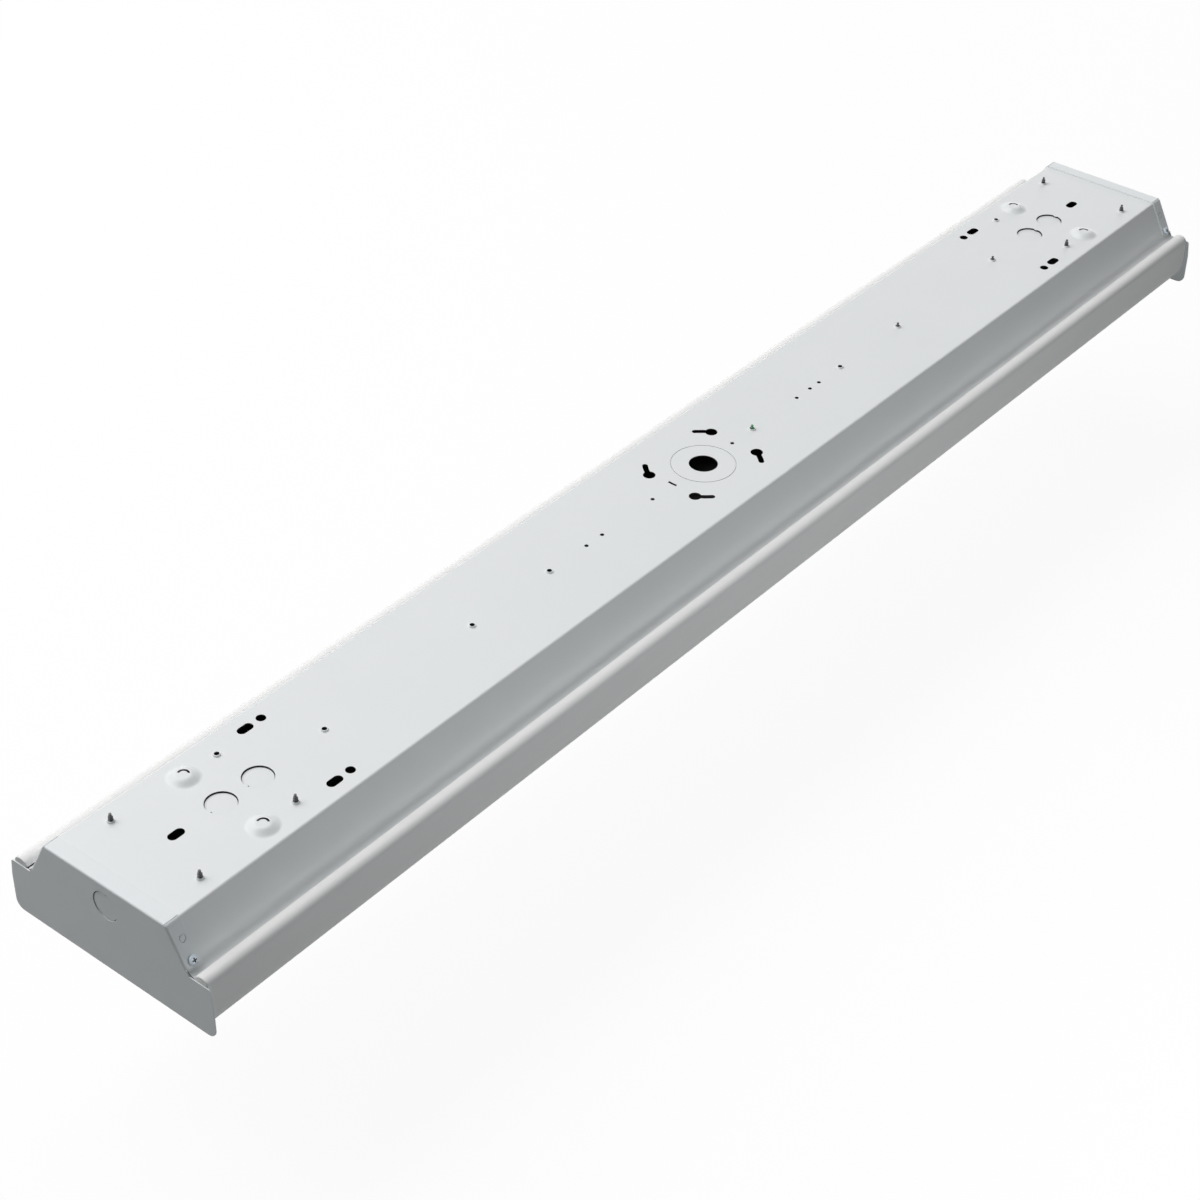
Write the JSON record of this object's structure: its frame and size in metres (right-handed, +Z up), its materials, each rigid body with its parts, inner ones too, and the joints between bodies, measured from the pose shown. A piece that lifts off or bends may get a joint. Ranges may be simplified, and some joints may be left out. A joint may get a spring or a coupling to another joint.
{
  "type": "wraparound light",
  "caption": "Long low wraparound ceiling light: formed sheet channel with punched ceiling face and stamped end plates, with a trough lens that hangs on rolled lips and swings down.",
  "frame": {"origin": "centre of the wire entry hole, on the flat face of the channel that meets the ceiling", "axes": "+X along the light from its near end to its far end, +Z up to the ceiling, -Y towards the side on which the lens hangs when it is open"},
  "size_m": [1.2192, 0.184, 0.0795],
  "materials": {
    "channel_paint": "semi-gloss white baked enamel",
    "plate_paint": "semi-gloss white baked enamel",
    "tray_paint": "matt high-reflectance white",
    "driver_paint": "satin white",
    "lens_acrylic": "satin opal acrylic",
    "zinc_steel": "bright zinc plate",
    "dark_zinc": "dark zinc plate",
    "green_zinc": "green dyed zinc",
    "tinned_copper": "tin plate",
    "board_laminate": "white solder mask",
    "led_phosphor": "phosphor resin",
    "white_nylon": "moulded nylon",
    "black_rubber": "soft black",
    "amber_plastic": "clear amber moulding",
    "black_insulation": "smooth wire insulation",
    "white_insulation": "smooth wire insulation",
    "red_insulation": "smooth wire insulation",
    "blue_insulation": "smooth wire insulation",
    "yellow_insulation": "smooth wire insulation",
    "green_insulation": "smooth wire insulation"
  },
  "bodies": {
    "housing": {"channel_housing": "channel_paint", "end_plate_near": "plate_paint", "end_plate_far": "plate_paint", "end_plate_screws_near": "dark_zinc", "end_plate_screws_far": "dark_zinc", "led_tray": "tray_paint", "tray_bracket_near": "zinc_steel", "tray_bracket_far": "zinc_steel", "bracket_screws_near": "dark_zinc", "bracket_screws_far": "dark_zinc", "tray_screws": "dark_zinc", "led_board_hinge_near": "board_laminate", "led_board_hinge_far": "board_laminate", "led_board_latch_near": "board_laminate", "led_board_latch_far": "board_laminate", "leds_hinge_near": "led_phosphor", "leds_hinge_far": "led_phosphor", "leds_latch_near": "led_phosphor", "leds_latch_far": "led_phosphor", "board_rivets": "white_nylon", "board_links": "white_nylon", "feed_connectors": "white_nylon", "end_connectors": "white_nylon", "row_jumper": "yellow_insulation", "driver_foot_plate": "zinc_steel", "driver_case": "driver_paint", "driver_grommets": "black_rubber", "driver_screws": "dark_zinc", "lead_black": "black_insulation", "lead_white": "white_insulation", "lead_red": "red_insulation", "lead_blue": "blue_insulation", "wire_bushing": "black_rubber", "splice_connectors": "amber_plastic", "ground_screw": "green_zinc", "ground_terminal": "tinned_copper", "ground_wire": "green_insulation"},
    "lens": {"lens": "lens_acrylic"}
  },
  "joints": [
    {"name": "lens_hang", "type": "hinge", "parent": "housing", "child": "lens", "pos_m": [0, -0.07717, -0.0305], "axis": [-1, 0, 0], "range_deg": [0, 85]}
  ]
}
